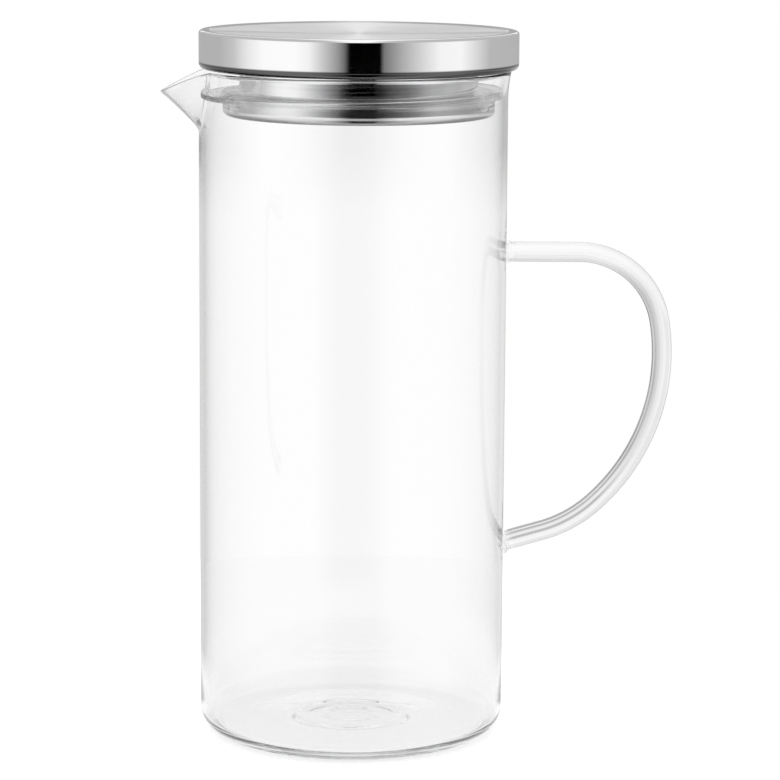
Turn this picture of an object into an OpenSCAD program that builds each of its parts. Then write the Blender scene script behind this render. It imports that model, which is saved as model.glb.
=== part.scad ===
// Glass pitcher with a pressed steel lid and a soft seal.
// The origin is the centre of the foot. +Z is up, the handle points
// along +X and the pouring spout along -X.

/* [Jug] */
// Outer diameter of the glass wall
jug_d = 100; // [92:0.5:112]
// Height from the foot to the top of the rim
jug_h = 218.4; // [190:0.2:260]
// Thickness of the blown wall
glass_t = 1.4; // [1.2:0.1:2]
// Thickness of the floor beside the heel
floor_t = 3; // [2:0.1:5]
// Outside radius of the heel, where the wall turns into the foot
heel_r = 8; // [6:0.5:12]
// Inside radius between wall and floor
floor_fillet_r = 4.6; // [3:0.2:8]
// Width of the flat ring that the jug stands on
foot_w = 5; // [3:0.5:10]
// Rise of the underside in the middle of the foot
punt_h = 1.5; // [0.6:0.1:1.8]
// Rise of the floor in the middle
floor_rise = 0.8; // [0.2:0.1:2]
// How far the rim leans outwards
rim_flare = 0.9; // [0.1:0.1:1.5]
// Height of the leaning stretch below the rim
rim_flare_h = 9; // [5:0.5:12]

/* [Spout] */
// Reach of the spout tip beyond the wall
spout_reach = 13.2; // [8:0.2:16]
// Height of the pulled spout, from its root up to the rim
spout_h = 20; // [16:0.5:26]
// Drop of the spout tip below the rim
spout_dip = 7; // [3:0.2:10]
// Half of the angle over which the rim is pulled out
spout_half_angle = 27; // [20:1:36]

/* [Handle] */
// Diameter of the glass rod
rod_d = 6.5; // [5:0.1:9]
// Height of the upper arm's centre line
handle_top_z = 159.4; // [150:0.2:168]
// Height at which the lower arm meets the wall
handle_bottom_z = 63; // [54:0.2:72]
// Centre line radius of the upper bend
top_bend_r = 27; // [20:0.5:32]
// Angle of the upper bend
top_bend_angle = 80; // [76:1:84]
// Centre line radius of the lower bend
low_bend_r = 42; // [30:1:50]
// Angle of the lower bend
low_bend_angle = 26; // [20:1:30]
// Slope of the lower arm, down towards the wall
low_arm_slope = 16; // [10:1:24]
// Straight length of the lower arm
low_arm_l = 13.2; // [8:0.2:16]
// Extra radius of the weld where an arm meets the wall
weld_flare = 2.2; // [1:0.1:3]
// Length over which a weld thins down to the rod
weld_l = 4; // [2.5:0.1:6]

/* [Lid] */
// How far the cover stands out over the glass wall
cap_overhang = 1.7; // [0:0.1:4]
// Height of the cover
cap_h = 12.3; // [10:0.1:16]
// Thickness of the steel sheet
steel_t = 0.7; // [0.5:0.1:0.9]
// Radius of the cover's upper edge
cap_edge_r = 1.1; // [1:0.1:2]
// Depth of the shallow dish in the cover's top
cap_dish = 0.4; // [0.1:0.1:0.8]
// Width of the raised border round the dish
cap_border_w = 2.4; // [2:0.1:4]
// Outside radius of the cover's turned-in lower edge
hem_r = 1.8; // [1.2:0.1:2.4]
// Width of the turned-in hem that holds the liner
hem_w = 4.5; // [3.5:0.1:6]
// Radius where the neck turns out into the liner's brim
neck_fillet_r = 0.8; // [0.4:0.1:1.4]
// Depth from the cover's lower face to the underside of the pan
plug_depth = 14.9; // [12:0.1:18]
// Room all round between the pan and the glass when the lid sits centred
pan_room = 4.6; // [3.6:0.1:6]
// Height of the pan
pan_h = 2.6; // [2:0.1:3.2]
// Radius of the pan's lower edge
pan_edge_r = 1.8; // [1:0.1:1.9]
// Sideways set of the lid towards the handle, as it was pushed in
lid_offset = 1.7; // [0:0.1:1.8]

/* [Seal] */
// Width of the seal's body, from the liner's neck out to the pan's edge
seal_w = 5.2; // [4:0.1:8]
// Height of the seal's body above the pan's edge
seal_h = 5.4; // [3:0.1:6.5]
// Thickness of the seal's lip
lip_t = 2.2; // [1:0.1:2.8]
// How far the lip's edge hangs below the top of the seal's body
lip_drop = 1; // [0:0.1:1.5]
// Most that the lip's edge bends up from there where it is squeezed
lip_rise = 1.8; // [0.5:0.1:3.5]

/* [Fits] */
// Gap between the rim and the lid that rests on it
rim_gap = 0.3; // [0.1:0.05:0.5]
// Gap between the seal's lip and the glass
lip_gap = 0.3; // [0.1:0.05:0.5]
// Gap between the seal and the steel that turns in it
turn_gap = 0.1; // [0.05:0.05:0.2]

/* [Hidden] */
$fn = 96;

// Radii of the jug
jug_r = jug_d / 2;
bore_r = jug_r - glass_t;
foot_r = jug_r - heel_r;
// Height at which the plain tube ends and the pulled rim begins
tube_h = jug_h - spout_h;
// Steps round a quarter arc in a turned outline
arc_steps = 8;
// Steps of the pulled rim: round it, up it and over its edge
rim_turns = 120;
rim_levels = 10;
edge_steps = 4;
// Share of the rim's steps that is spread evenly, the rest crowds at the spout
even_share = 0.6;
// Rounding of the spout tip and of its flanks, as seen from above
tip_round_share = 0.15;
flank_power = 1.5;
// Width of the spout at its root, as a share of its width at the rim
root_width_share = 0.5;
// Swell of the spout's underside, 1 is straight
underside_power = 1.15;
flare_power = 2;
// The faceted rim starts this much thicker, so its edges clear the round tube's
seam_step = 0.06;

// Handle, seen from the side
rod_r = rod_d / 2;
low_bend_start = 180 - low_arm_slope - low_bend_angle;
low_arm_heading = 180 - low_arm_slope;
grip_angle = low_bend_start - top_bend_angle;
// The grip's radius closes the height between the two arms
arc_drop = top_bend_r * (1 - cos(top_bend_angle))
    + low_bend_r * (cos(low_bend_start) - cos(low_arm_heading))
    + low_arm_l * sin(low_arm_heading);
grip_r = (handle_top_z - handle_bottom_z - arc_drop)
    / (cos(top_bend_angle) - cos(low_bend_start));
// The upper arm's length brings the lower arm back to the wall
top_arm_l = -(top_bend_r * sin(top_bend_angle)
    + grip_r * (sin(low_bend_start) - sin(top_bend_angle))
    + low_bend_r * (sin(low_arm_heading) - sin(low_bend_start))
    + low_arm_l * cos(low_arm_heading));
weld_r = rod_r + weld_flare;
// Sides of the rod and its steps along a weld and round the bends
rod_sides = 20;
weld_steps = 5;
bend_steps = 10;
low_bend_steps = 5;
// The arms start this far inside the wall's face and are cut back to it
weld_sink = jug_r - sqrt(jug_r * jug_r - weld_r * weld_r) + weld_r * tan(low_arm_slope);

// Lid heights, from the table up
cap_r = jug_r + cap_overhang;
cap_z = jug_h + rim_gap;
lid_top_z = cap_z + cap_h;
brim_z = cap_z + steel_t;
brim_r = cap_r - hem_r;
pan_r = bore_r - pan_room;
neck_r = pan_r - seal_w;
pan_z = cap_z - plug_depth;
pan_rim_z = pan_z + pan_h;
liner_floor_z = pan_z + steel_t;
neck_corner_r = 2 * steel_t;

// Seal
seal_bore_r = neck_r + turn_gap;
seal_foot_r = pan_r - steel_t - turn_gap;
seal_foot_z = liner_floor_z + turn_gap;
seal_foot_corner_r = pan_edge_r - steel_t - turn_gap;
seal_top_z = pan_rim_z + seal_h;
lip_edge_r = bore_r - lip_gap;
// Stations along the lip, from inside the body out to the edge
lip_stations = 4;
lip_turns = 120;
lip_curl_power = 1.4;
lip_bend_power = 4;
// Rise and drop of the lip's underside, as shares of the edge's rise
under_rise_share = 0.45;
root_drop_share = 0.5;
lip_root_r = (seal_bore_r + pan_r) / 2;

// Points on an arc round (cx, cz), from angle a to angle b
function arc(cx, cz, r, a, b, steps = arc_steps) =
    [for (k = [0:steps]) let (t = a + (b - a) * k / steps) [cx + r * cos(t), cz + r * sin(t)]];

// Radius of the circle that rises by h over the half chord w
function bow_r(w, h) = (w * w + h * h) / (2 * h);

// Points of a shallow bow from the half chord w at height z to its middle
function bow(w, z, h, steps = arc_steps) =
    let (r = bow_r(w, h))
    [for (k = [0:steps]) let (x = w * (1 - k / steps)) [x, z + h - r + sqrt(r * r - x * x)]];

function flip(points) = [for (k = [len(points) - 1:-1:0]) points[k]];

// Triangles of a closed band of n sections with m points each
function band_faces(n, m) =
    [for (i = [0:n - 1], j = [0:m - 1])
        let (i2 = (i + 1) % n, j2 = (j + 1) % m)
        each [[i * m + j, i * m + j2, i2 * m + j2], [i * m + j, i2 * m + j2, i2 * m + j]]];

module band(sections) {
    polyhedron(points = [for (s = sections) each s],
        faces = band_faces(len(sections), len(sections[0])), convexity = 4);
}

// Rings joined one after the other, with a flat face at each end
module rod(rings) {
    n = len(rings);
    m = len(rings[0]);
    polyhedron(points = [for (ring = rings) each ring],
        faces = concat(
            [for (i = [0:n - 2], j = [0:m - 1]) let (j2 = (j + 1) % m)
                each [[i * m + j, i * m + j2, i * m + m + j2], [i * m + j, i * m + m + j2, i * m + m + j]]],
            [[for (j = [m - 1:-1:0]) j], [for (j = [0:m - 1]) (n - 1) * m + j]]),
        convexity = 4);
}

// Angle of a rim step, closer together at the spout, which lies at 180
function rim_angle(k) =
    let (p = 2 * k / rim_turns - 1)
    180 + 180 * (even_share * p + (1 - even_share) * p * p * p);

// Share of the full pull at an angle from the spout's middle
function pull(angle, half_angle) =
    let (u = min(abs(angle) / half_angle, 1),
         e = tip_round_share,
         v = (sqrt(u * u + e * e) - e) / (sqrt(1 + e * e) - e))
    pow(1 - v, flank_power);

function rim_z(angle) = jug_h - spout_dip * pull(angle - 180, spout_half_angle);

function outer_r(angle, share) =
    let (half = spout_half_angle * (root_width_share + (1 - root_width_share) * share),
         top = rim_z(angle),
         z = tube_h + share * (top - tube_h),
         lean = max(0, (z - jug_h + rim_flare_h) / rim_flare_h))
    jug_r + seam_step * (1 - share) + rim_flare * pow(lean, flare_power)
        + (spout_reach - rim_flare) * pull(angle - 180, half) * pow(share, underside_power);

// One upright section through the pulled rim: up outside, over, down inside
function rim_section(angle) =
    let (half_t = glass_t / 2, top = rim_z(angle) - half_t, edge_r = outer_r(angle, 1))
    [for (p = concat(
        [for (k = [0:rim_levels]) let (s = k / rim_levels)
            [outer_r(angle, s), tube_h + s * (top - tube_h)]],
        [for (k = [1:edge_steps - 1]) let (a = 180 * k / edge_steps)
            [edge_r - half_t + half_t * cos(a), top + half_t * sin(a)]],
        [for (k = [rim_levels:-1:0]) let (s = k / rim_levels)
            [outer_r(angle, s) - glass_t - 2 * seam_step * (1 - s), tube_h + s * (top - tube_h)]]))
        [p[0] * cos(angle), p[0] * sin(angle), p[1]]];

// Blown wall and floor, with the foot pushed up in the middle
module jug_tube() {
    rotate_extrude()
        polygon(concat(
            flip(bow(foot_r - foot_w, 0, punt_h)),
            arc(foot_r, heel_r, heel_r, -90, 0),
            [[jug_r, tube_h], [bore_r, tube_h]],
            arc(bore_r - floor_fillet_r, floor_t + floor_fillet_r, floor_fillet_r, 0, -90),
            bow(bore_r - floor_fillet_r, floor_t, floor_rise)));
}

// Rim with the spout pulled out of it
module pulled_rim() {
    band([for (k = [0:rim_turns - 1]) rim_section(rim_angle(k))]);
}

module glass_body() {
    color([0.85, 0.92, 0.94, 0.35]) {
        jug_tube();
        pulled_rim();
    }
}

// A stop on the handle's centre line is [x, z, heading], heading down from +X
function turned(stop, r, a) =
    [stop[0] + r * (sin(stop[2] + a) - sin(stop[2])),
     stop[1] - r * (cos(stop[2]) - cos(stop[2] + a)), stop[2] + a];

function ahead(stop, l) = [stop[0] + l * cos(stop[2]), stop[1] - l * sin(stop[2]), stop[2]];

function bend_stops(stop, r, a, steps) = [for (k = [1:steps]) turned(stop, r, a * k / steps)];

// Distances from the wall at which a weld thins down to the rod
weld_stops = [for (k = [0:weld_steps]) weld_l * (1 - cos(90 * k / weld_steps))];

function rod_radius(d) =
    d >= weld_l ? rod_r
    : rod_r + weld_flare * (1 - sqrt(1 - pow(1 - max(d, 0) / weld_l, 2)));

// One ring of the rod, square to the centre line
function rod_ring(stop, r) =
    [for (j = [0:rod_sides - 1]) let (t = -360 * j / rod_sides)
        [stop[0] + r * sin(t) * sin(stop[2]), r * cos(t), stop[1] + r * sin(t) * cos(stop[2])]];

// Rod bent in one plane, both ends cut to the curve of the wall
module handle() {
    wall_top = [jug_r, handle_top_z, 0];
    bend_1 = ahead(wall_top, top_arm_l);
    bend_2 = turned(bend_1, top_bend_r, top_bend_angle);
    bend_3 = turned(bend_2, grip_r, grip_angle);
    low_arm = turned(bend_3, low_bend_r, low_bend_angle);
    arm_stops = concat([-weld_sink], weld_stops);
    rings = concat(
        [for (d = arm_stops) rod_ring(ahead(wall_top, d), rod_radius(d))],
        [rod_ring(bend_1, rod_r)],
        [for (p = bend_stops(bend_1, top_bend_r, top_bend_angle, bend_steps)) rod_ring(p, rod_r)],
        [for (p = bend_stops(bend_2, grip_r, grip_angle, bend_steps)) rod_ring(p, rod_r)],
        [for (p = bend_stops(bend_3, low_bend_r, low_bend_angle, low_bend_steps)) rod_ring(p, rod_r)],
        [for (d = flip(arm_stops)) rod_ring(ahead(low_arm, low_arm_l - d), rod_radius(d))]);
    color([0.85, 0.92, 0.94, 0.35])
        difference() {
            rod(rings);
            cylinder(h = jug_h, r = jug_r);
        }
}

// Width between the seal's body and the glass, seen from the lid's axis
function lip_reach(angle) =
    sqrt(pow(lip_edge_r, 2) - pow(lid_offset * sin(angle), 2)) - lid_offset * cos(angle);

// How far the lip is bent, from 0 at the spout to 1 where the lid sits closest to the wall
function lip_bend(angle) = pow(abs(cos(angle / 2)), lip_bend_power);

function lip_section(angle) =
    let (edge = lip_reach(angle), rise = lip_rise * lip_bend(angle) - lip_drop,
         foot = seal_top_z - lip_t)
    [for (p = concat(
        [for (k = [0:lip_stations]) let (s = k / lip_stations, curl = pow(s, lip_curl_power))
            [lip_root_r + (edge - lip_root_r) * s,
             foot - rise * root_drop_share * (1 - s) + rise * under_rise_share * curl]],
        [for (k = [lip_stations:-1:0]) let (s = k / lip_stations, curl = pow(s, lip_curl_power))
            [lip_root_r + (edge - lip_root_r) * s, seal_top_z + rise * curl]]))
        [p[0] * cos(angle), p[0] * sin(angle), p[1]]];

// Body of the seal, with a foot that hooks into the pan
module seal_core() {
    rotate_extrude()
        polygon(concat(
            [[seal_bore_r, seal_foot_z]],
            arc(seal_foot_r - seal_foot_corner_r, seal_foot_z + seal_foot_corner_r,
                seal_foot_corner_r, -90, 0),
            [[seal_foot_r, pan_rim_z], [pan_r, pan_rim_z],
             [pan_r, seal_top_z], [seal_bore_r, seal_top_z]]));
}

// Moulded ring whose soft lip reaches the glass all round
module seal_ring() {
    color([0.86, 0.88, 0.89, 0.75])
        translate([lid_offset, 0, 0]) {
            seal_core();
            band([for (k = [0:lip_turns - 1]) lip_section(360 * k / lip_turns)]);
        }
}

// Drawn cover with a shallow dish and a turned-in hem
module lid_cap() {
    edge_in = cap_edge_r - steel_t;
    hem_in = hem_r - steel_t;
    dish_r = cap_r - cap_edge_r - cap_border_w;
    color([0.78, 0.78, 0.79])
        translate([lid_offset, 0, 0]) rotate_extrude()
            polygon(concat(
                [[0, lid_top_z - cap_dish], [dish_r, lid_top_z - cap_dish],
                 [dish_r + cap_dish, lid_top_z]],
                arc(cap_r - cap_edge_r, lid_top_z - cap_edge_r, cap_edge_r, 90, 0),
                arc(cap_r - hem_r, cap_z + hem_r, hem_r, 0, -90),
                [[cap_r - hem_w, cap_z], [cap_r - hem_w, brim_z]],
                arc(cap_r - hem_r, cap_z + hem_r, hem_in, -90, 0),
                arc(cap_r - cap_edge_r, lid_top_z - cap_edge_r, edge_in, 0, 90),
                [[dish_r + cap_dish, lid_top_z - steel_t],
                 [dish_r, lid_top_z - cap_dish - steel_t],
                 [0, lid_top_z - cap_dish - steel_t]]));
}

// Drawn cup that closes the cover from below: brim, neck and floor
module lid_liner() {
    brim_in = neck_fillet_r + steel_t;
    corner_in = neck_corner_r - steel_t;
    color([0.74, 0.74, 0.75])
        translate([lid_offset, 0, 0]) rotate_extrude()
            polygon(concat(
                [[brim_r, brim_z], [brim_r, brim_z + steel_t]],
                arc(neck_r + neck_fillet_r, brim_z - neck_fillet_r, brim_in, 90, 180),
                arc(neck_r - neck_corner_r, liner_floor_z + neck_corner_r, corner_in, 0, -90),
                [[0, liner_floor_z + steel_t], [0, liner_floor_z]],
                arc(neck_r - neck_corner_r, liner_floor_z + neck_corner_r, neck_corner_r, -90, 0),
                arc(neck_r + neck_fillet_r, brim_z - neck_fillet_r, neck_fillet_r, 180, 90)));
}

// Shallow pan welded under the liner, which holds the seal up
module lid_pan() {
    edge_in = pan_edge_r - steel_t;
    color([0.74, 0.74, 0.75])
        translate([lid_offset, 0, 0]) rotate_extrude()
            polygon(concat(
                [[0, pan_z]],
                arc(pan_r - pan_edge_r, pan_z + pan_edge_r, pan_edge_r, -90, 0),
                [[pan_r, pan_rim_z], [pan_r - steel_t, pan_rim_z]],
                arc(pan_r - pan_edge_r, pan_z + pan_edge_r, edge_in, 0, -90),
                [[0, liner_floor_z]]));
}

glass_body();
handle();
seal_ring();
lid_cap();
lid_liner();
lid_pan();
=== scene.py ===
import math

import bmesh
import bpy
from mathutils import Matrix


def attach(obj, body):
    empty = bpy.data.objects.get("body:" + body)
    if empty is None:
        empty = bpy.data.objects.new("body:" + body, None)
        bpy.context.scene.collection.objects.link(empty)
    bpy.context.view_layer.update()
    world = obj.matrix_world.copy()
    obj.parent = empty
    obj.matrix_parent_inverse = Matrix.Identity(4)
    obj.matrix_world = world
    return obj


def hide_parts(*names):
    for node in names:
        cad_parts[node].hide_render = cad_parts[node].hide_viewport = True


# Looks for a tall glass pitcher with a pressed steel lid and a soft seal.
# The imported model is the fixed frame. Sizes are in millimetres, named as in
# the part's source, and turn into metres where a mesh is made.

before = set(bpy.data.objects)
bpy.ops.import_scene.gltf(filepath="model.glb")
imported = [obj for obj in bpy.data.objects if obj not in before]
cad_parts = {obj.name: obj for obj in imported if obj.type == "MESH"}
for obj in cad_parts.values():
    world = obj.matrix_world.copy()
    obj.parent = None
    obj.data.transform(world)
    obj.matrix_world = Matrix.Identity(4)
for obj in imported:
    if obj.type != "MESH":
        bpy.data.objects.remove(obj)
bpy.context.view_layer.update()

MM = 0.001
MERGE = 0.0005  # points closer together than this become one

# Jug
JUG_R = 50.0
JUG_H = 218.4
GLASS_T = 1.4
BORE_R = JUG_R - GLASS_T
FLOOR_T = 3.0
HEEL_R = 8.0
FLOOR_FILLET_R = 4.6
FOOT_W = 5.0
PUNT_H = 1.5
FLOOR_RISE = 0.8
# Radius, width and height of each ring in the floor
FLOOR_RINGS = [(8.0, 1.8, 0.26), (17.0, 2.0, 0.45), (21.0, 1.6, -0.18)]
RIM_FLARE = 0.9
RIM_FLARE_H = 9.0
FLARE_POWER = 2.0
RIM_TURNS = 376
EVEN_SHARE = 0.6

# Spout
SPOUT_REACH = 13.2
SPOUT_H = 20.0
SPOUT_DIP = 7.0
SPOUT_HALF_ANGLE = 27.0
TIP_ROUND_SHARE = 0.15
FLANK_POWER = 1.5
ROOT_WIDTH_SHARE = 0.5
UNDERSIDE_POWER = 1.15
TUBE_H = JUG_H - SPOUT_H

# Handle
ROD_R = 3.25
HANDLE_TOP_Z = 159.4
HANDLE_BOTTOM_Z = 63.0
TOP_BEND_R, TOP_BEND_ANGLE = 27.0, 80.0
LOW_BEND_R, LOW_BEND_ANGLE = 42.0, 26.0
LOW_ARM_SLOPE = 16.0
LOW_ARM_L = 13.2
WELD_FLARE = 2.2
WELD_L = 4.0
WELD_POWER = 1.5
WELD_SINK = 0.35  # how deep the rod's ends reach into the wall
SUNK_L = 2.5 * WELD_SINK  # how much of the rod's path lies inside the wall
WELD_CLEAR = 3.4  # the rod's surface fades out over this length before the wall
WELD_ALPHA = 0.1  # what is left of the surface at the wall
BULGE_R, BULGE_H = 7.2, 0.8  # where the welded rod pushed the soft wall inwards
AROUND = "around_rod"  # attribute that says where a point lies round the rod
INWARD_AXIS = 1  # the axis of the rod's circle that points into the bend
PATH_STEP = 0.7
ROD_SIDES = 96
WELD_POINTS = 14

# Lid
LID_X = 1.7
CAP_R = JUG_R + 1.7
CAP_H = 12.3
STEEL_T = 0.7
CAP_EDGE_R = 1.1
CAP_DISH = 0.4
CAP_BOWL = 0.7  # how far the dish sags in the middle
CAP_BORDER_W = 2.4
HEM_R = 1.8
HEM_W = 4.5
PAN_R = BORE_R - 4.6
NECK_R = PAN_R - 5.2
NECK_FILLET_R = 0.8
NECK_LEAN = 0.34  # how much narrower the neck is under the brim
NECK_CORNER_R = 2 * STEEL_T
PLUG_DEPTH = 14.9
PAN_H = 2.6
PAN_EDGE_R = 1.8
CAP_Z = JUG_H + 0.3
LID_TOP_Z = CAP_Z + CAP_H
BRIM_Z = CAP_Z + STEEL_T
BRIM_R = CAP_R - HEM_R
PAN_Z = CAP_Z - PLUG_DEPTH
PAN_RIM_Z = PAN_Z + PAN_H
LINER_FLOOR_Z = PAN_Z + STEEL_T
LATHE_TURNS = 256

# Seal
SEAL_H = 5.4
LIP_T = 2.2
LIP_DROP = 1.0
LIP_RISE = 1.8
TURN_GAP = 0.1
LIP_EDGE_R = BORE_R - 0.3
SEAL_BORE_R = NECK_R + TURN_GAP
SEAL_FOOT_R = PAN_R - STEEL_T - TURN_GAP
SEAL_FOOT_Z = LINER_FLOOR_Z + TURN_GAP
SEAL_TOP_Z = PAN_RIM_Z + SEAL_H
LIP_CURL_POWER = 1.4
LIP_BEND_POWER = 4.0
UNDER_RISE_SHARE = 0.45
ROOT_DROP_SHARE = 0.5

# Camera, fitted to the outlines in the photograph
LENS_MM = 151.06
SENSOR_MM = 36.0
CAMERA_PLACE = (12.37, -1059.4, 293.8)
CAMERA_PITCH = 9.667
CAMERA_ROLL = 0.354


# Outlines, as lists of (radius, height)

def arc(cx, cz, r, a, b, steps=12):
    """Points on an arc round (cx, cz), from angle a to angle b."""
    angles = [math.radians(a + (b - a) * k / steps) for k in range(steps + 1)]
    return [(cx + r * math.cos(t), cz + r * math.sin(t)) for t in angles]


def between(a, b, share):
    return (a[0] + (b[0] - a[0]) * share, a[1] + (b[1] - a[1]) * share)


def line(a, b, steps):
    """Points from a to b, without a itself."""
    return [between(a, b, k / steps) for k in range(1, steps + 1)]


def held(outline, gap=0.08, shortest=1.0):
    """Adds points close to both ends of long straight runs, so that they are shaded flat."""
    points = [outline[0]]
    for a, b in zip(outline, outline[1:]):
        length = math.dist(a, b)
        if length > shortest:
            points += [between(a, b, share) for share in (gap / length, 1 - gap / length)]
        points.append(b)
    return points


def bow(w, z, h, steps=16):
    """A shallow bow from the half chord w at height z to its middle, which is h higher."""
    r, side = (w * w + h * h) / (2 * abs(h)), math.copysign(1, h)
    radii = [w * (1 - k / steps) for k in range(steps + 1)]
    return [(x, z + h - side * (r - math.sqrt(r * r - x * x))) for x in radii]


# Meshes

def new_piece(name, points, faces, material, sharp_angle=38):
    """A closed smooth mesh from points in millimetres, its faces turned outwards."""
    mesh = bpy.data.meshes.new(name)
    mesh.from_pydata([tuple(c * MM for c in p) for p in points], [], faces)
    work = bmesh.new()
    work.from_mesh(mesh)
    bmesh.ops.remove_doubles(work, verts=work.verts, dist=MERGE * MM)
    bmesh.ops.recalc_face_normals(work, faces=work.faces)
    work.to_mesh(mesh)
    work.free()
    mesh.shade_smooth()
    mesh.set_sharp_from_angle(angle=math.radians(sharp_angle))
    mesh.materials.append(material)
    piece = bpy.data.objects.new(name, mesh)
    bpy.context.scene.collection.objects.link(piece)
    return piece


def ring_faces(rings, stations, closed):
    """Faces between neighbouring sections that go once round."""
    faces = []
    for i in range(rings):
        a, b = i * stations, (i + 1) % rings * stations
        for j in range(stations if closed else stations - 1):
            k = (j + 1) % stations
            faces.append((a + j, a + k, b + k, b + j))
    return faces


def turned_piece(name, outline, material, closed=False):
    """A piece turned round the lid's axis, where an outline that isn't closed starts and ends."""
    points = []
    for i in range(LATHE_TURNS):
        t = math.tau * i / LATHE_TURNS
        points += [(LID_X + r * math.cos(t), r * math.sin(t), z) for r, z in outline]
    return new_piece(name, points, ring_faces(LATHE_TURNS, len(outline), closed), material)


def place(piece, body, nodes):
    """The piece stands for CAD nodes and rides on their body."""
    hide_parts(*nodes)
    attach(piece, body)


# Node trees

class Tree:
    """Short names for building a node tree."""

    def __init__(self, tree):
        self.tree = tree

    def add(self, kind, *values, **settings):
        """A new node. Values go to its inputs in order; a socket is linked, None is skipped."""
        node = self.tree.nodes.new(kind)
        for name, value in settings.items():
            setattr(node, name, value)
        for socket, value in zip(node.inputs, values):
            if isinstance(value, bpy.types.NodeSocket):
                self.tree.links.new(value, socket)
            elif value is not None:
                socket.default_value = value
        return node

    def link(self, out, socket):
        self.tree.links.new(out, socket)

    def math(self, operation, *values):
        return self.add("ShaderNodeMath", *values, operation=operation).outputs[0]


# Glass body

def rim_angle(k):
    """Angle of a rim step, closer together at the spout, which lies at 180."""
    p = 2 * k / RIM_TURNS - 1
    return 180 + 180 * (EVEN_SHARE * p + (1 - EVEN_SHARE) * p ** 3)


def pull(angle, half_angle):
    """Share of the full pull at an angle from the spout's middle."""
    off, tip = min(abs(angle) / half_angle, 1), TIP_ROUND_SHARE
    fall = (math.hypot(off, tip) - tip) / (math.hypot(1, tip) - tip)
    return (1 - fall) ** FLANK_POWER


def rim_z(angle):
    return JUG_H - SPOUT_DIP * pull(angle - 180, SPOUT_HALF_ANGLE)


def outer_r(angle, share):
    """Radius of the outer face, at a share of the height from the tube to the rim."""
    half = SPOUT_HALF_ANGLE * (ROOT_WIDTH_SHARE + (1 - ROOT_WIDTH_SHARE) * share)
    z = TUBE_H + share * (rim_z(angle) - TUBE_H)
    lean = max(0.0, (z - JUG_H + RIM_FLARE_H) / RIM_FLARE_H)
    return (JUG_R + RIM_FLARE * lean ** FLARE_POWER
            + (SPOUT_REACH - RIM_FLARE) * pull(angle - 180, half) * share ** UNDERSIDE_POWER)


def bore_levels(step=0.9, longest=10.0, end_gap=4.0):
    """Heights down the inner wall, close together at the two welds."""
    levels, z = [], TUBE_H - end_gap
    while z > FLOOR_T + FLOOR_FILLET_R + end_gap:
        levels.append(z)
        near = min(abs(z - HANDLE_TOP_Z), abs(z - HANDLE_BOTTOM_Z))
        z -= step if near < BULGE_R + 1 else min(longest, near - BULGE_R)
    return levels


def weld_bulge(angle, z):
    """How far the inner wall stands in behind a weld."""
    across = math.radians((angle + 180) % 360 - 180) * BORE_R
    off = min(math.hypot(across, z - h) for h in (HANDLE_TOP_Z, HANDLE_BOTTOM_Z)) / BULGE_R
    return BULGE_H * (1 - off * off) ** 2 if off < 1 else 0.0


def floor_ring(r):
    """Low rings left on the inner floor where the glass was pushed up."""
    return sum(h * math.exp(-((r - at) / w) ** 2) for at, w, h in FLOOR_RINGS)


def jug_outline(wall_gap=0.1):
    """The parts of the section that are the same all round: outside, then inside."""
    outside = (bow(JUG_R - HEEL_R - FOOT_W, 0, PUNT_H)[::-1]
               + line((JUG_R - HEEL_R - FOOT_W, 0), (JUG_R - HEEL_R, 0), 2)
               + arc(JUG_R - HEEL_R, HEEL_R, HEEL_R, -90, 0, 20)[1:]
               + [(JUG_R, HEEL_R + wall_gap)]
               + line((JUG_R, HEEL_R), (JUG_R, TUBE_H), 14)[:-1])
    wall = [(BORE_R, z) for z in bore_levels()]
    floor = [(r, z + floor_ring(r)) for r, z in bow(BORE_R - FLOOR_FILLET_R, FLOOR_T, FLOOR_RISE, 66)[1:]]
    inside = (wall + arc(BORE_R - FLOOR_FILLET_R, FLOOR_T + FLOOR_FILLET_R, FLOOR_FILLET_R, 0, -90, 16)
              + floor)
    return outside, inside


def rim_outline(angle, levels=26, edge_steps=10):
    """The pulled rim at an angle: up outside, over the edge and down inside."""
    half_t, top = GLASS_T / 2, rim_z(angle) - GLASS_T / 2
    edge_r = outer_r(angle, 1)
    rise = [(outer_r(angle, k / levels), TUBE_H + k / levels * (top - TUBE_H))
            for k in range(levels + 1)]
    over = arc(edge_r - half_t, top, half_t, 0, 180, edge_steps)[1:-1]
    return rise + over + [(r - GLASS_T, z) for r, z in reversed(rise)]


def make_glass_body(material):
    outside, inside = jug_outline()
    points = []
    for k in range(RIM_TURNS):
        angle = rim_angle(k)
        section = outside + rim_outline(angle) + [(r - weld_bulge(angle, z), z) for r, z in inside]
        c, s = math.cos(math.radians(angle)), math.sin(math.radians(angle))
        points += [(r * c, r * s, z) for r, z in section]
    faces = ring_faces(RIM_TURNS, len(section), closed=False)
    body = new_piece("jug_glass", points, faces, material, sharp_angle=60)
    place(body, "jug", ["glass_body"])


# Handle: a stop on its centre line is (x, z, heading), the heading in degrees down from +X

def turned(stop, r, a):
    x, z, h = stop[0], stop[1], math.radians(stop[2])
    end = h + math.radians(a)
    return (x + r * (math.sin(end) - math.sin(h)), z - r * (math.cos(h) - math.cos(end)), stop[2] + a)


def ahead(stop, length):
    h = math.radians(stop[2])
    return (stop[0] + length * math.cos(h), stop[1] - length * math.sin(h), stop[2])


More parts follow.
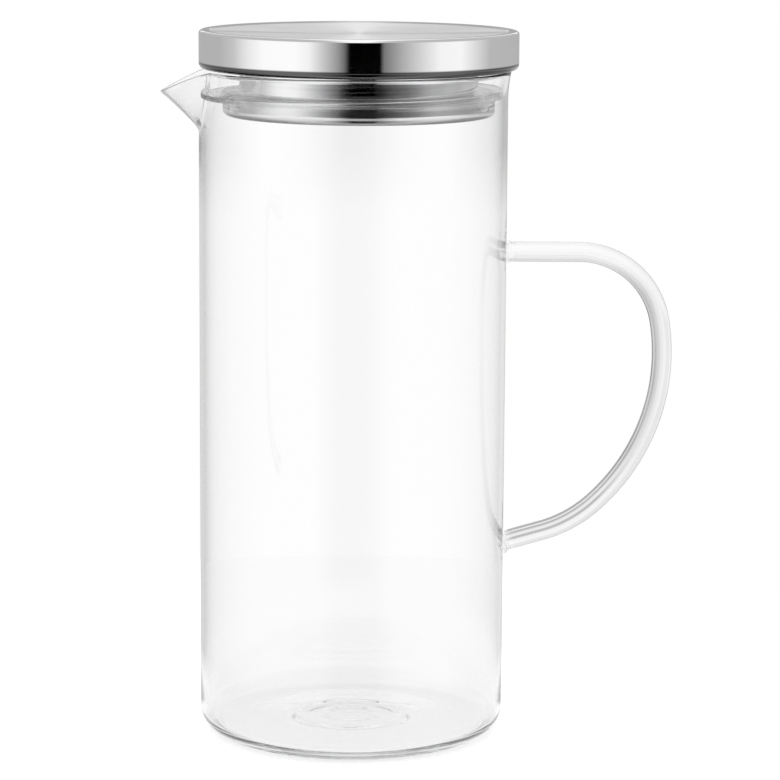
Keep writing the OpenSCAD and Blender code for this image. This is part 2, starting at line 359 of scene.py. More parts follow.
def handle_stops():
    """Close stops along the handle, from the upper weld round to the lower one."""
    low_start = 180 - LOW_ARM_SLOPE - LOW_BEND_ANGLE
    grip_angle = low_start - TOP_BEND_ANGLE
    low_heading = 180 - LOW_ARM_SLOPE

    def sin(a):
        return math.sin(math.radians(a))

    def cos(a):
        return math.cos(math.radians(a))

    drop = (TOP_BEND_R * (1 - cos(TOP_BEND_ANGLE))
            + LOW_BEND_R * (cos(low_start) - cos(low_heading)) + LOW_ARM_L * sin(low_heading))
    grip_r = (HANDLE_TOP_Z - HANDLE_BOTTOM_Z - drop) / (cos(TOP_BEND_ANGLE) - cos(low_start))
    top_arm_l = -(TOP_BEND_R * sin(TOP_BEND_ANGLE) + grip_r * (sin(low_start) - sin(TOP_BEND_ANGLE))
                  + LOW_BEND_R * (sin(low_heading) - sin(low_start)) + LOW_ARM_L * cos(low_heading))

    stops = [ahead((JUG_R, HANDLE_TOP_Z, 0), d) for d in arm_steps(-SUNK_L, top_arm_l)]
    for r, a in ((TOP_BEND_R, TOP_BEND_ANGLE), (grip_r, grip_angle), (LOW_BEND_R, LOW_BEND_ANGLE)):
        start, steps = stops[-1], max(8, round(math.radians(a) * r / PATH_STEP))
        stops += [turned(start, r, a * k / steps) for k in range(1, steps + 1)]
    low_arm = stops[-1]
    stops += [ahead(low_arm, LOW_ARM_L - d) for d in reversed(arm_steps(-SUNK_L, LOW_ARM_L)[:-1])]
    return stops


def arm_steps(start, end):
    """Distances from the wall along an arm, close together where the weld flares."""
    shares = [k / WELD_POINTS for k in range(WELD_POINTS + 1)]
    weld = [WELD_L * (1 - math.cos(math.pi / 2 * share)) for share in shares]
    count = max(1, round((end - WELD_L) / PATH_STEP))
    rest = [WELD_L + (end - WELD_L) * k / count for k in range(1, count + 1)]
    return [start] + weld + rest


def handle_path():
    """The centre line as a curve object with one straight-segment spline."""
    stops = handle_stops()
    curve = bpy.data.curves.new("handle_path", "CURVE")
    curve.dimensions = "3D"
    spline = curve.splines.new("POLY")
    spline.points.add(len(stops) - 1)
    for point, (x, z, _) in zip(spline.points, stops):
        point.co = (x * MM, 0, z * MM, 1)
    path = bpy.data.objects.new("handle_path", curve)
    bpy.context.scene.collection.objects.link(path)
    return path


def rod_tree():
    """Geometry Nodes: sweeps a round rod along a path, thickens both ends to
    welds and lays the end faces on the round wall that they are welded to."""
    tree = bpy.data.node_groups.new("welded_rod", "GeometryNodeTree")
    face = tree.interface
    face.new_socket("Path", in_out="INPUT", socket_type="NodeSocketGeometry")
    for name in ("Rod Radius", "Weld Flare", "Weld Length", "Sunk Length", "Wall Radius"):
        face.new_socket(name, in_out="INPUT", socket_type="NodeSocketFloat")
    face.new_socket("Sides", in_out="INPUT", socket_type="NodeSocketInt")
    face.new_socket("Glass", in_out="INPUT", socket_type="NodeSocketMaterial")
    face.new_socket("Rod", in_out="OUTPUT", socket_type="NodeSocketGeometry")
    t = Tree(tree)
    source = t.add("NodeGroupInput").outputs

    # Distance from the nearer wall, then the radius that the weld has there
    along = t.add("GeometryNodeSplineParameter").outputs["Length"]
    total = t.add("GeometryNodeSplineLength").outputs["Length"]
    nearer = t.math("MINIMUM", along, t.math("SUBTRACT", total, along))
    off_wall = t.math("SUBTRACT", nearer, source["Sunk Length"])
    share = t.add("ShaderNodeMath", t.math("DIVIDE", off_wall, source["Weld Length"]),
                  operation="ADD", use_clamp=True).outputs[0]
    narrowing = t.math("POWER", t.math("SUBTRACT", 1.0, share), WELD_POWER)
    flare = t.math("MULTIPLY", source["Weld Flare"], narrowing)
    radius = t.math("ADD", source["Rod Radius"], flare)

    circle = t.add("GeometryNodeCurvePrimitiveCircle", source["Sides"])
    circle.inputs["Radius"].default_value = 1.0
    # The rod's streaks and its painted shade need to know where they are round it
    marked = t.add("GeometryNodeStoreNamedAttribute", circle.outputs["Curve"],
                   data_type="FLOAT_VECTOR", domain="POINT")
    marked.inputs["Name"].default_value = AROUND
    t.link(t.add("GeometryNodeInputPosition").outputs[0],
           [s for s in marked.inputs if s.name == "Value" and s.enabled][0])
    sweep = t.add("GeometryNodeCurveToMesh", source["Path"], marked.outputs[0], radius, True)

    # No point comes nearer to the jug's axis than the wall radius
    place_in = t.add("ShaderNodeSeparateXYZ", t.add("GeometryNodeInputPosition").outputs[0]).outputs
    wall_x = t.math("SQRT", t.math("SUBTRACT", t.math("POWER", source["Wall Radius"], 2.0),
                                   t.math("POWER", place_in[1], 2.0)))
    moved = t.add("ShaderNodeCombineXYZ", t.math("MAXIMUM", place_in[0], wall_x), place_in[1], place_in[2])
    laid = t.add("GeometryNodeSetPosition", sweep.outputs[0], None, moved.outputs[0])
    real = t.add("GeometryNodeRealizeInstances", laid.outputs[0])
    done = t.add("GeometryNodeSetMaterial", real.outputs[0], None, source["Glass"])
    t.link(done.outputs[0], t.add("NodeGroupOutput").inputs[0])
    return tree


def applied(name, source, tree, values):
    """The mesh that a node tree makes of an object, as a new object."""
    modifier = source.modifiers.new(name, "NODES")
    modifier.node_group = tree
    sockets = {s.name: s.identifier for s in tree.interface.items_tree if s.in_out == "INPUT"}
    for socket, value in values.items():
        modifier[sockets[socket]] = value
    made = source.evaluated_get(bpy.context.evaluated_depsgraph_get())
    mesh = bpy.data.meshes.new_from_object(made)
    bpy.data.objects.remove(source)
    mesh.name = name
    piece = bpy.data.objects.new(name, mesh)
    bpy.context.scene.collection.objects.link(piece)
    return piece


def make_handle(material):
    rod = applied("handle_rod", handle_path(), rod_tree(), {
        "Rod Radius": ROD_R * MM, "Weld Flare": WELD_FLARE * MM, "Weld Length": WELD_L * MM,
        "Sunk Length": SUNK_L * MM, "Wall Radius": (JUG_R - WELD_SINK) * MM,
        "Sides": ROD_SIDES, "Glass": material})
    rod.data.shade_smooth()
    rod.data.set_sharp_from_angle(angle=math.radians(50))
    place(rod, "jug", ["handle"])


# Seal

def lip_reach(angle):
    """Width between the seal's axis and the glass, which the lip fills."""
    a = math.radians(angle)
    return math.sqrt(LIP_EDGE_R ** 2 - (LID_X * math.sin(a)) ** 2) - LID_X * math.cos(a)


def seal_section(angle, steps=14):
    """Once round the seal's section: bore, foot, side, under the lip, round its edge, back."""
    reach = lip_reach(angle)
    rise = LIP_RISE * abs(math.cos(math.radians(angle / 2))) ** LIP_BEND_POWER - LIP_DROP
    root = (SEAL_BORE_R + PAN_R) / 2
    corner = PAN_EDGE_R - STEEL_T - TURN_GAP
    round_r, bevel = 0.3, 0.15

    def under(r):
        s = (r - root) / (reach - root)
        return (SEAL_TOP_Z - LIP_T - rise * ROOT_DROP_SHARE * (1 - s)
                + rise * UNDER_RISE_SHARE * s ** LIP_CURL_POWER)

    def top(r):
        s = (r - root) / (reach - root)
        return SEAL_TOP_Z + rise * s ** LIP_CURL_POWER

    side_top = under(PAN_R)
    out = [PAN_R + (reach - round_r - PAN_R) * k / steps for k in range(steps + 1)]
    back = [root + (reach - round_r - root) * k / steps for k in range(steps, -1, -1)]
    edge_low, edge_high = under(out[-1]), top(out[-1])
    edge = arc(reach - round_r, edge_low + round_r, round_r, -90, 0, 5)[1:]
    edge += arc(reach - round_r, edge_high - round_r, round_r, 0, 90, 5)[:-1]
    return ([(SEAL_BORE_R, SEAL_TOP_Z), (SEAL_BORE_R, SEAL_FOOT_Z)]
            + arc(SEAL_FOOT_R - corner, SEAL_FOOT_Z + corner, corner, -90, 0, 6)
            + [(SEAL_FOOT_R, PAN_RIM_Z), (PAN_R - bevel, PAN_RIM_Z), (PAN_R, PAN_RIM_Z + bevel)]
            + line((PAN_R, PAN_RIM_Z + bevel), (PAN_R, side_top), 3)[:-1]
            + [(r, under(r)) for r in out] + edge + [(r, top(r)) for r in back])


def make_seal(material):
    points = []
    for k in range(LATHE_TURNS):
        section = seal_section(360 * k / LATHE_TURNS)
        c, s = math.cos(math.tau * k / LATHE_TURNS), math.sin(math.tau * k / LATHE_TURNS)
        points += [(LID_X + r * c, r * s, z) for r, z in section]
    faces = ring_faces(LATHE_TURNS, len(section), closed=True)
    ring = new_piece("seal_silicone", points, faces, material, sharp_angle=45)
    place(ring, "seal", ["seal_ring"])


# Lid

def make_cap(polished, brushed):
    """Drawn cover with a shallow dish and a turned-in hem. The dish is brushed."""
    edge_in, hem_in = CAP_EDGE_R - STEEL_T, HEM_R - STEEL_T
    dish_r = CAP_R - CAP_EDGE_R - CAP_BORDER_W
    low_top = LID_TOP_Z - CAP_DISH
    bowl = [(r, z - STEEL_T) for r, z in bow(dish_r, low_top, -CAP_BOWL, 24)]
    outline = ([(r, z + STEEL_T) for r, z in reversed(bowl)]
               + [(dish_r + CAP_DISH / 2, LID_TOP_Z - CAP_DISH / 2), (dish_r + CAP_DISH, LID_TOP_Z)]
               + arc(CAP_R - CAP_EDGE_R, LID_TOP_Z - CAP_EDGE_R, CAP_EDGE_R, 90, 0)
               + arc(CAP_R - HEM_R, CAP_Z + HEM_R, HEM_R, 0, -90)
               + [(CAP_R - HEM_W, CAP_Z), (CAP_R - HEM_W, BRIM_Z)]
               + arc(CAP_R - HEM_R, CAP_Z + HEM_R, hem_in, -90, 0)
               + arc(CAP_R - CAP_EDGE_R, LID_TOP_Z - CAP_EDGE_R, edge_in, 0, 90)
               + [(dish_r + CAP_DISH, LID_TOP_Z - STEEL_T)] + bowl)
    cap = turned_piece("lid_cover", held(outline), polished)
    cap.data.materials.append(brushed)
    under_dish = low_top - CAP_BOWL - 0.1
    for face in cap.data.polygons:
        x, y, z = (c / MM for c in face.center)
        in_dish = math.hypot(x - LID_X, y) < dish_r + CAP_DISH
        face.material_index = int(in_dish and z > under_dish)
    place(cap, "lid", ["lid_cap"])


def make_liner(material):
    """Drawn cup that closes the cover from below: brim, neck and floor."""
    brim_in, corner_in = NECK_FILLET_R + STEEL_T, NECK_CORNER_R - STEEL_T
    fillet_x = NECK_R - NECK_LEAN + NECK_FILLET_R
    outline = ([(BRIM_R, BRIM_Z), (BRIM_R, BRIM_Z + STEEL_T)]
               + arc(fillet_x, BRIM_Z - NECK_FILLET_R, brim_in, 90, 180)
               + arc(NECK_R - NECK_CORNER_R, LINER_FLOOR_Z + NECK_CORNER_R, corner_in, 0, -90)
               + [(0, LINER_FLOOR_Z + STEEL_T), (0, LINER_FLOOR_Z)]
               + arc(NECK_R - NECK_CORNER_R, LINER_FLOOR_Z + NECK_CORNER_R, NECK_CORNER_R, -90, 0)
               + arc(fillet_x, BRIM_Z - NECK_FILLET_R, NECK_FILLET_R, 180, 90))
    liner = turned_piece("lid_neck", held(outline), material, closed=True)
    place(liner, "lid", ["lid_liner"])


def make_pan(material):
    """Shallow pan under the neck, which holds the seal up."""
    edge_in = PAN_EDGE_R - STEEL_T
    outline = ([(0, PAN_Z)] + arc(PAN_R - PAN_EDGE_R, PAN_Z + PAN_EDGE_R, PAN_EDGE_R, -90, 0)
               + [(PAN_R, PAN_RIM_Z), (PAN_R - STEEL_T, PAN_RIM_Z)]
               + arc(PAN_R - PAN_EDGE_R, PAN_Z + PAN_EDGE_R, edge_in, 0, -90)
               + [(0, LINER_FLOOR_Z)])
    pan = turned_piece("lid_pan_steel", held(outline), material)
    place(pan, "lid", ["lid_pan"])


# Materials

def new_material(name):
    material = bpy.data.materials.new(name)
    material.use_nodes = True
    t = Tree(material.node_tree)
    shader = material.node_tree.nodes["Principled BSDF"]
    return material, t, shader


def shades(t, factor, pairs):
    """A colour ramp of greys, from (position, brightness) pairs."""
    ramp = t.add("ShaderNodeValToRGB", factor)
    elements = ramp.color_ramp.elements
    while len(elements) < len(pairs):
        elements.new(0.5)
    for element, (position, grey) in zip(elements, pairs):
        element.position = position
        element.color = (grey, grey, grey, 1)
    return ramp.outputs["Color"]


def fade(t, value, start, end, low=0.0, high=1.0):
    """Goes from low to high while the value goes from start to end."""
    return t.add("ShaderNodeMapRange", value, start, end, low, high).outputs[0]


def piece_place(t):
    """Where a point lies on the object, in metres."""
    return t.add("ShaderNodeTexCoord").outputs["Object"]


def noise(t, place_in, scale, detail=2.0):
    node = t.add("ShaderNodeTexNoise", place_in)
    node.inputs["Scale"].default_value = scale
    node.inputs["Detail"].default_value = detail
    return node.outputs["Fac"]


def raised(t, shader, pattern, height):
    """Raises a surface by a pattern, up to a height in millimetres."""
    bump = t.add("ShaderNodeBump")
    bump.inputs["Distance"].default_value = height * MM
    bump.inputs["Strength"].default_value = 1.0
    t.link(pattern, bump.inputs["Height"])
    t.link(bump.outputs[0], shader.inputs["Normal"])


def blend(t, factor, a, b):
    """Mixes two colours."""
    mix = t.add("ShaderNodeMix", data_type="RGBA")
    for socket, value in (("Factor", factor), ("A", a), ("B", b)):
        named = [s for s in mix.inputs if s.name == socket and s.enabled][0]
        if isinstance(value, bpy.types.NodeSocket):
            t.link(value, named)
        else:
            named.default_value = value
    return [s for s in mix.outputs if s.enabled][0]


def axis_radius(t, x=0.0):
    """Distance from an upright axis, in object coordinates."""
    parts = t.add("ShaderNodeSeparateXYZ", piece_place(t)).outputs
    off = t.math("SUBTRACT", parts[0], x * MM)
    squares = t.math("ADD", t.math("MULTIPLY", off, off), t.math("MULTIPLY", parts[1], parts[1]))
    return t.math("SQRT", squares)


GLASS_IOR = 1.47
GLASS_TINT, GLASS_DENSITY = (0.80, 0.815, 0.81, 1), 6.0  # what the glass takes from the light
# Painted shade at the glass's edges: tones by how much aslant the glass is seen, up to 1
JUG_EDGES = [(0.0, 1.0), (0.7, 0.99), (0.88, 0.93), (1.0, 0.7)]
ROD_EDGES = [(0.0, 1.0), (0.4, 0.98), (0.7, 0.9), (1.0, 0.55)]
RIPPLE_SCALE, RIPPLE_STRETCH, RIPPLE_H = 14.0, 0.4, 0.02


def glass(name, edge_pairs):
    """Clear glass, with painted shade that makes its edges a little darker where it is seen aslant."""
    material, t, shader = new_material(name)
    facing = t.add("ShaderNodeLayerWeight", 0.5).outputs["Facing"]
    inner_face = t.add("ShaderNodeNewGeometry").outputs["Backfacing"]
    # Painted shade: the outer faces darken towards their edges
    edge_shade = blend(t, inner_face, shades(t, facing, edge_pairs), (1, 1, 1, 1))
    t.link(edge_shade, shader.inputs["Base Color"])
    shader.inputs["Transmission Weight"].default_value = 1.0
    shader.inputs["Roughness"].default_value = 0.0
    shader.inputs["IOR"].default_value = GLASS_IOR
    absorption = t.add("ShaderNodeVolumeAbsorption")
    absorption.inputs["Color"].default_value = GLASS_TINT
    absorption.inputs["Density"].default_value = GLASS_DENSITY
    output = material.node_tree.nodes["Material Output"]
    t.link(absorption.outputs[0], output.inputs["Volume"])
    return material, t, shader, edge_shade


def blown_glass():
    """The jug's glass: slow ripples of blown glass, longer up the wall than round it."""
    material, t, shader, _ = glass("blown_glass", JUG_EDGES)
    stretched = t.add("ShaderNodeMapping", piece_place(t))
    stretched.inputs["Scale"].default_value = (1, 1, RIPPLE_STRETCH)
    raised(t, shader, noise(t, stretched.outputs[0], RIPPLE_SCALE), RIPPLE_H)
    return material


# Streaks in the drawn rod are tones by noise; painted shade lines go by how far a point faces into the
# bend, up to 1
STREAK_SCALE, STREAK_DETAIL = 2.6, 3.0
FINE_STREAKS = [(0.36, 0.8), (0.46, 1.0)]
SIDE_PAINTED_LINES = [(0.5, 1.0), (0.62, 0.6), (0.7, 0.25), (0.77, 0.3), (0.8, 1.0), (0.87, 1.0),
                (0.91, 0.3), (0.97, 0.3)]
BEND_PAINTED_LINES = [(0.0, 1.0), (0.1, 0.55), (0.2, 0.25), (0.34, 0.45), (0.42, 1.0)]
# Painted shade on the rod's darker inner half, by a share from 0 outside the bend to 1 inside it
INNER_SHADE = [(0.2, 1.0), (0.4, 0.93), (0.55, 0.82), (0.7, 0.7), (0.88, 0.62), (1.0, 0.5)]
# Where each of these comes in: from one height to another, and its strength at the first
SIDE_PAINTED_LINES_IN = (150, 90, 0.35)
BEND_PAINTED_LINES_IN = (95, 78, 0.0)
INNER_SHADE_IN = (156, 146, 0.0)
INNER_SHADE_UP = (80, 95, 0.3)
WALL_SLACK = 0.02  # the rod's surface ends so deep in the wall


def drawn_glass():
    """The rod's glass: fine streaks run along it, with painted shade lines and a painted darker half, the
    darkest on the inside of the bend.
    """
    material, t, shader, edge_shade = glass("drawn_glass", ROD_EDGES)
    around = t.add("ShaderNodeAttribute", attribute_name=AROUND).outputs["Vector"]
    inward = t.add("ShaderNodeSeparateXYZ", around).outputs[INWARD_AXIS]
    inner_share = t.math("MULTIPLY_ADD", inward, 0.5, 0.5)
    height = t.add("ShaderNodeSeparateXYZ", piece_place(t)).outputs[2]

    def strength(start, end, first):
        return fade(t, height, start * MM, end * MM, first)

    def toned(share, tone):
        return blend(t, share, (1, 1, 1, 1), tone)

    fine = shades(t, noise(t, around, STREAK_SCALE, STREAK_DETAIL), FINE_STREAKS)
    # Painted shade: dark lines along the side and the bend, and a darker inner half
    side = toned(strength(*SIDE_PAINTED_LINES_IN), shades(t, inward, SIDE_PAINTED_LINES))
    bend = toned(strength(*BEND_PAINTED_LINES_IN), shades(t, inward, BEND_PAINTED_LINES))
    on_grip = t.math("MULTIPLY", strength(*INNER_SHADE_IN), strength(*INNER_SHADE_UP))
    inner = toned(on_grip, shades(t, inner_share, INNER_SHADE))
    tone = t.math("MULTIPLY", t.math("MULTIPLY", fine, inner), t.math("MULTIPLY", side, bend))
    t.link(blend(t, tone, (0, 0, 0, 1), edge_shade), shader.inputs["Base Color"])

    # The melted weld is see-through, and inside the wall the rod has no surface at all
    off_wall = t.math("SUBTRACT", axis_radius(t), JUG_R * MM)
    melted = fade(t, off_wall, 0.0, WELD_CLEAR * MM, WELD_ALPHA, 1.0)
    outside = t.math("GREATER_THAN", off_wall, -WALL_SLACK * MM)
    t.link(t.math("MULTIPLY", melted, outside), shader.inputs["Alpha"])
    return material


POLISHED_TONE = 0.97
COVER_FINISH = {"tone": POLISHED_TONE, "roughness": (0.03, 0.05), "groove": 0.0006, "groove_scale": 900.0}
NECK_FINISH = {"tone": 0.92, "roughness": (0.010, 0.017), "groove": 0.0004, "groove_scale": 900.0}
SPUN_FINISH = {"tone": 0.80, "roughness": (0.30, 0.36), "groove": 0.002, "groove_scale": 1600.0}
STEEL_BLUE = 1.01  # the blue in steel's colour against its red and green
GROOVE_DETAIL = 3.0
WORN_SCALE, WORN_FROM, WORN_TO = 45.0, 0.3, 0.7  # slow changes of the roughness


def steel(name, tone, roughness, groove, groove_scale):
    """Stainless steel, polished, with fine turned grooves round the lid's axis."""
    material, t, shader = new_material(name)
    height = t.add("ShaderNodeSeparateXYZ", piece_place(t)).outputs[2]
    across = t.add("ShaderNodeCombineXYZ", axis_radius(t, LID_X), height, None).outputs[0]
    raised(t, shader, noise(t, across, groove_scale, GROOVE_DETAIL), groove)
    worn = noise(t, piece_place(t), WORN_SCALE)
    t.link(fade(t, worn, WORN_FROM, WORN_TO, *roughness), shader.inputs["Roughness"])
    shader.inputs["Base Color"].default_value = (tone, tone, tone * STEEL_BLUE, 1)
    shader.inputs["Metallic"].default_value = 1.0
    return material


def painted_shade_below(material, low, high, shade_tone, polished):
    """Painted shade on rolled edges: darker below one height, polished above the other."""
    shader = material.node_tree.nodes["Principled BSDF"]
    t = Tree(material.node_tree)
    height = t.add("ShaderNodeSeparateXYZ", piece_place(t)).outputs[2]
    share = fade(t, height, low * MM, high * MM)
    t.link(shades(t, share, [(0.0, shade_tone), (1.0, polished)]), shader.inputs["Base Color"])
    return material


def cover_steel():
    """Polished, with painted shade that darkens the turned-in edge."""
    edge = CAP_Z + HEM_R
    return painted_shade_below(steel("cover_steel", **COVER_FINISH),
                        low=edge + 0.25, high=edge + 0.7, shade_tone=0.13, polished=POLISHED_TONE)


def neck_steel():
    return steel("drawn_steel", **NECK_FINISH)


def pan_steel():
    """As the neck, with painted shade that darkens the rounded edge."""
    return painted_shade_below(steel("pan_steel", **NECK_FINISH),
                        low=PAN_Z + 0.4, high=PAN_Z + PAN_EDGE_R + 0.4, shade_tone=0.3, polished=0.9)


def spun_steel():
    """Spun-brushed: grooves round the axis spread the light along the radius."""
    material = steel("spun_steel", **SPUN_FINISH)
    shader = material.node_tree.nodes["Principled BSDF"]
    t = Tree(material.node_tree)
    shader.inputs["Anisotropic"].default_value = 1.0
    shader.inputs["Anisotropic Rotation"].default_value = 0.25
    tangent = t.add("ShaderNodeTangent", direction_type="RADIAL", axis="Z")
    t.link(tangent.outputs[0], shader.inputs["Tangent"])
    return material


CLOUD_SCALE, CLOUD_DETAIL = 120.0, 4.0
CLOUD_TONES = [(0.3, 0.97), (0.7, 1.0)]
GRAIN_SCALE, GRAIN_H = 1400.0, 0.02


def silicone():
    """Translucent silicone, satin, a little cloudy."""
    material, t, shader = new_material("silicone_satin")
    cloud = noise(t, piece_place(t), CLOUD_SCALE, CLOUD_DETAIL)
    t.link(shades(t, cloud, CLOUD_TONES), shader.inputs["Base Color"])
    raised(t, shader, noise(t, piece_place(t), GRAIN_SCALE), GRAIN_H)
    shader.inputs["Roughness"].default_value = 0.16
    shader.inputs["IOR"].default_value = 1.25
    shader.inputs["Transmission Weight"].default_value = 0.99
    return material


# Studio, its sizes in metres

# Brightness of the studio by direction, in degrees from the camera's side, right positive.
# MIRRORED is what steel and glass mirror: a dark gap in front, a bright stretch at each
# side, softer walls behind. FILLED takes its place a little below the horizon.
# BEHIND_GLASS is what the lid's neck mirrors through the jug, and what glass mirrors from
# within, from just below the horizon up. SEEN_THROUGH is what shows through clear glass:
# white, with grey flags off to the sides that draw its edges.
MIRRORED = [(-180, 0.65), (-168, 0.45), (-118, 0.45), (-100, 0.56), (-87, 0.8),
            (-72, 0.98), (-46, 1.0), (-35, 0.9), (-24, 0.56), (-14, 0.3), (-9.5, 0.15), (-6.5, 0.0),
            (16, 0.0), (18, 0.18), (33, 0.45), (50, 0.75), (60, 0.92), (78, 0.95), (90, 0.75),
            (108, 0.48), (168, 0.45), (180, 0.5)]
FILLED = [(-180, 0.7), (-165, 0.65), (-140, 0.6), (-112, 0.7), (-80, 0.95), (-24, 0.95), (-8, 0.5),
          (18, 0.5), (34, 0.95), (80, 0.95), (112, 0.85), (140, 0.8), (165, 0.75), (180, 0.5)]
BEHIND_GLASS = [(-180, 0.85), (-150, 0.85), (-142, 0.43), (-125, 0.42), (-109, 0.55), (-95, 0.78),
                (-83, 0.96), (-72, 1.0), (-61, 0.95), (-52, 0.78), (-42, 0.55), (-33, 0.35), (-24, 0.18),
                (-15, 0.04), (-9, 0.0), (21, 0.0), (29, 0.03), (37, 0.07), (46, 0.1), (56, 0.18),
                (66, 0.3), (76, 0.39), (88, 0.38), (101, 0.35), (115, 0.31), (142, 0.33), (150, 0.85),
                (180, 0.85)]
SEEN_THROUGH = [(-180, 1.0), (-172, 1.0), (-165, 0.86), (-147, 0.86), (-143, 1.0), (-126, 1.0),
                (-122, 0.5), (-104, 0.5), (-100, 1.0), (-84, 1.0), (-79, 0.4), (-62, 0.4), (-56, 1.0),
                (56, 1.0), (62, 0.6), (79, 0.6), (84, 1.0), (100, 1.0), (104, 0.5), (122, 0.5),
                (126, 1.0), (143, 1.0), (147, 0.85), (165, 0.85), (172, 1.0), (180, 1.0)]
# Upward shares of a direction: the ceiling, the filled stretch, the ground
CEILING_FROM, CEILING_TO = 0.16, 0.34
FILL_FROM, FILL_TO = -0.095, -0.115
GROUND_FROM, GROUND_TO = -0.275, -0.3
STRIP_FROM, STRIP_TO = 0.1, 0.3  # half width of the bright strip over the object, to the sides
STRIP_TONE, CEILING_TONE = 1.0, 0.5
BEHIND_FROM, BEHIND_TO = 0.94, 0.97  # the wall straight behind, dark below and white above
HORIZON_FROM, HORIZON_TO = -0.01, 0.015
LOW_BACK_FROM, LOW_BACK_TO, LOW_BACK_TONE = 0.075, 0.14, 0.4
UPPER_FROM, UPPER_TO = -0.055, -0.04  # above these glass mirrors BEHIND_GLASS
LOW_FROM, LOW_TO = -0.22, -0.3  # the flags fade out between these
UPPER_TONE = 0.9  # the ceiling as it shows through glass
AMBIENT = 0.75  # how brightly the room lights the object
INSIDE_LIFT = 0.6  # how much paler the room is to light mirrored to and fro inside the glass


def was_mirrored(t):
    """1 where a ray has been mirrored on its way, by metal or by glass."""
    depth = t.add("ShaderNodeLightPath").outputs["Glossy Depth"]
    return t.math("GREATER_THAN", depth, 0.5)


def make_world():
    world = bpy.data.worlds.new("studio")
    bpy.context.scene.world = world
    world.use_nodes = True
    tree = world.node_tree
    t = Tree(tree)
    direction = t.add("ShaderNodeTexCoord").outputs["Generated"]
    parts = t.add("ShaderNodeSeparateXYZ", direction).outputs
    angle = t.math("ARCTAN2", parts[0], t.math("MULTIPLY", parts[1], -1.0))
    share = fade(t, angle, -math.pi, math.pi)
    wall, filled, behind_glass, backdrop = (
        shades(t, share, [((a + 180) / 360, tone) for a, tone in table])
        for table in (MIRRORED, FILLED, BEHIND_GLASS, SEEN_THROUGH))

    def grey(tone):
        return (tone, tone, tone, 1)

    def rising(start, end):
        return fade(t, parts[2], start, end)

    strip = fade(t, t.math("ABSOLUTE", parts[0]), STRIP_FROM, STRIP_TO)
    ceiling = blend(t, strip, grey(STRIP_TONE), grey(CEILING_TONE))
    low_behind = blend(t, rising(LOW_BACK_TO, LOW_BACK_FROM), grey(1.0), grey(LOW_BACK_TONE))
    behind = t.math("MULTIPLY", fade(t, parts[1], BEHIND_FROM, BEHIND_TO),
                    rising(HORIZON_FROM, HORIZON_TO))
    wall = blend(t, behind, wall, low_behind)
    room = blend(t, rising(FILL_FROM, FILL_TO), wall, filled)
    room = blend(t, rising(CEILING_FROM, CEILING_TO), room, ceiling)
    backdrop = blend(t, rising(CEILING_FROM, CEILING_TO), backdrop, grey(UPPER_TONE))
    backdrop = blend(t, rising(LOW_FROM, LOW_TO), backdrop, grey(1.0))

    rays = t.add("ShaderNodeLightPath").outputs
    through_glass = rays["Is Transmission Ray"]
    upper = t.math("MULTIPLY", through_glass, rising(UPPER_FROM, UPPER_TO))
    room = blend(t, upper, room, behind_glass)
    room = blend(t, rising(GROUND_FROM, GROUND_TO), room, wall)
    # Mirrored twice or more, and not through more than one piece: to and fro inside the glass
    one_piece = t.math("MULTIPLY", t.math("GREATER_THAN", rays["Transmission Depth"], 0.5),
                       t.math("LESS_THAN", rays["Transmission Depth"], 3.5))
    inside_glass = t.math("MULTIPLY", one_piece, t.math("GREATER_THAN", rays["Glossy Depth"], 1.5))
    # Only the welds' melted glass lets a ray pass more than one see-through surface
    in_weld = t.math("GREATER_THAN", rays["Transparent Depth"], 1.5)
    lift = t.math("MULTIPLY", t.math("MAXIMUM", inside_glass, in_weld), INSIDE_LIFT)
    room = blend(t, lift, room, grey(1.0))
    tone = blend(t, rays["Is Camera Ray"], grey(AMBIENT), grey(1.0))
    tone = blend(t, through_glass, tone, backdrop)
    tone = blend(t, was_mirrored(t), tone, room)
    light = t.add("ShaderNodeBackground", tone, 1.0)
    output = tree.nodes.get("World Output") or t.add("ShaderNodeOutputWorld")
    t.link(light.outputs[0], output.inputs["Surface"])


FLOOR_R = 0.26
FLOOR_DROP = 0.00005  # keeps the floor just clear of the foot
FLOOR_TONE = 0.85
FLOOR_GLOW = 0.6  # makes the floor white to the camera
THROUGH_GLOW = 1.06
THROUGH_GLOW_SHARE = 0.8  # the rest of the floor seen through glass keeps its shadow
FOOT_GLOW_R = 0.09
WHITE = (1, 1, 1, 1)


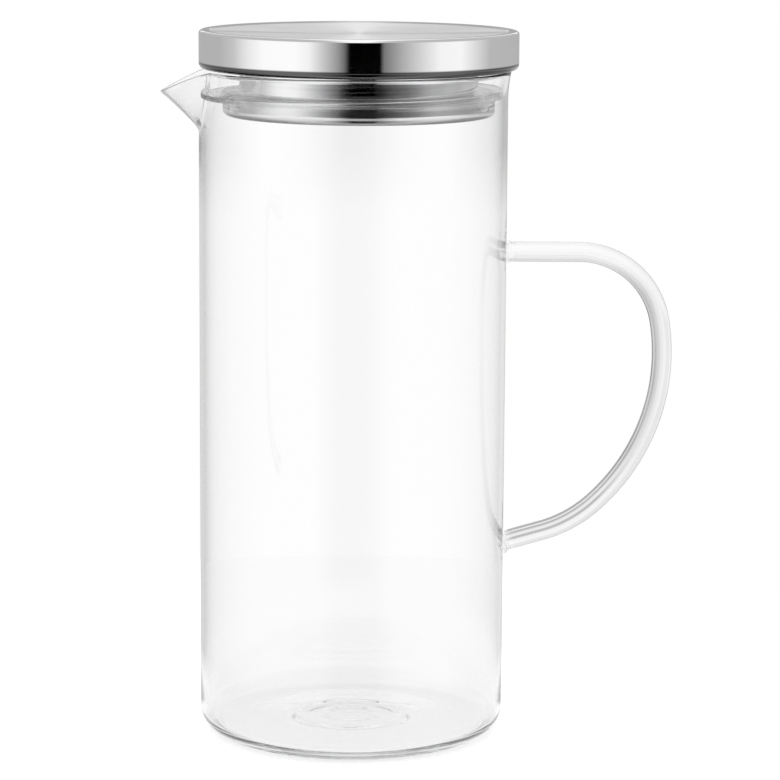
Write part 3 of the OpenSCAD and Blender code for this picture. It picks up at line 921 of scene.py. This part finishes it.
def make_floor():
    """Pale floor that stays white around the object's shadow."""
    mesh = bpy.data.meshes.new("floor")
    work = bmesh.new()
    bmesh.ops.create_circle(work, cap_ends=True, segments=96, radius=FLOOR_R)
    work.to_mesh(mesh)
    work.free()
    floor = bpy.data.objects.new("floor", mesh)
    floor.location.z = -FLOOR_DROP
    bpy.context.scene.collection.objects.link(floor)
    material = bpy.data.materials.new("pale_floor")
    material.use_nodes = True
    tree = material.node_tree
    tree.nodes.clear()
    t = Tree(tree)
    rays = t.add("ShaderNodeLightPath").outputs
    lit = t.add("ShaderNodeBsdfDiffuse", (FLOOR_TONE, FLOOR_TONE, FLOOR_TONE, 1))
    glow = t.add("ShaderNodeEmission", WHITE, t.math("MULTIPLY", rays["Is Camera Ray"], FLOOR_GLOW))
    bare = t.add("ShaderNodeAddShader", lit.outputs[0], glow.outputs[0])
    white = t.add("ShaderNodeEmission", WHITE, THROUGH_GLOW)
    through = t.add("ShaderNodeMixShader", THROUGH_GLOW_SHARE, lit.outputs[0], white.outputs[0])
    plain = t.add("ShaderNodeMixShader", rays["Is Transmission Ray"], bare.outputs[0], through.outputs[0])
    # Steel and glass mirror the floor only close to the foot, and further out the room
    beyond = fade(t, axis_radius(t), FOOT_GLOW_R, FLOOR_R / 2)
    near = t.add("ShaderNodeEmission", WHITE, 1.0)
    open_floor = t.add("ShaderNodeBsdfTransparent", WHITE)
    table = t.add("ShaderNodeMixShader", beyond, near.outputs[0], open_floor.outputs[0])
    both = t.add("ShaderNodeMixShader", was_mirrored(t), plain.outputs[0], table.outputs[0])
    t.link(both.outputs[0], t.add("ShaderNodeOutputMaterial").inputs["Surface"])
    mesh.materials.append(material)


BOX_DISTANCE, BOX_Z = 1.3, 0.25
BOX_H = 1.3
BOX_BRIGHTNESS = 1.0


def soft_light(name, direction, width):
    """A plain soft box at an angle from the camera's side, aimed at the lid."""
    lamp = bpy.data.lights.new(name, "AREA")
    lamp.shape = "RECTANGLE"
    lamp.size, lamp.size_y = width, BOX_H
    lamp.energy = BOX_BRIGHTNESS * math.pi * width * BOX_H
    light = bpy.data.objects.new(name, lamp)
    a = math.radians(direction)
    place_at = Matrix.Translation((BOX_DISTANCE * math.sin(a), -BOX_DISTANCE * math.cos(a), BOX_Z))
    light.matrix_world = place_at @ Matrix.Rotation(a, 4, "Z") @ Matrix.Rotation(math.pi / 2, 4, "X")
    light.visible_camera = False
    light.visible_glossy = False
    light.visible_transmission = False
    bpy.context.scene.collection.objects.link(light)


def make_lights():
    soft_light("soft_box_left", -58, 0.70)
    soft_light("soft_box_right", 73, 0.45)


def make_camera():
    lens = bpy.data.cameras.new("camera")
    lens.lens, lens.sensor_width = LENS_MM, SENSOR_MM
    camera = bpy.data.objects.new("camera", lens)
    camera.matrix_world = (Matrix.Translation([c * MM for c in CAMERA_PLACE])
                           @ Matrix.Rotation(math.radians(90 - CAMERA_PITCH), 4, "X")
                           @ Matrix.Rotation(math.radians(CAMERA_ROLL), 4, "Z"))
    bpy.context.scene.collection.objects.link(camera)
    bpy.context.scene.camera = camera


make_camera()
make_world()
make_floor()
make_lights()

make_glass_body(blown_glass())
make_handle(drawn_glass())
make_seal(silicone())
make_cap(cover_steel(), spun_steel())
make_liner(neck_steel())
make_pan(pan_steel())

scene = bpy.context.scene
scene.view_settings.view_transform = "Standard"
# Light goes to and fro inside the glass, so its paths may be long
scene.cycles.max_bounces = 40
scene.cycles.glossy_bounces = 24
scene.cycles.transmission_bounces = 32
scene.cycles.transparent_max_bounces = 64
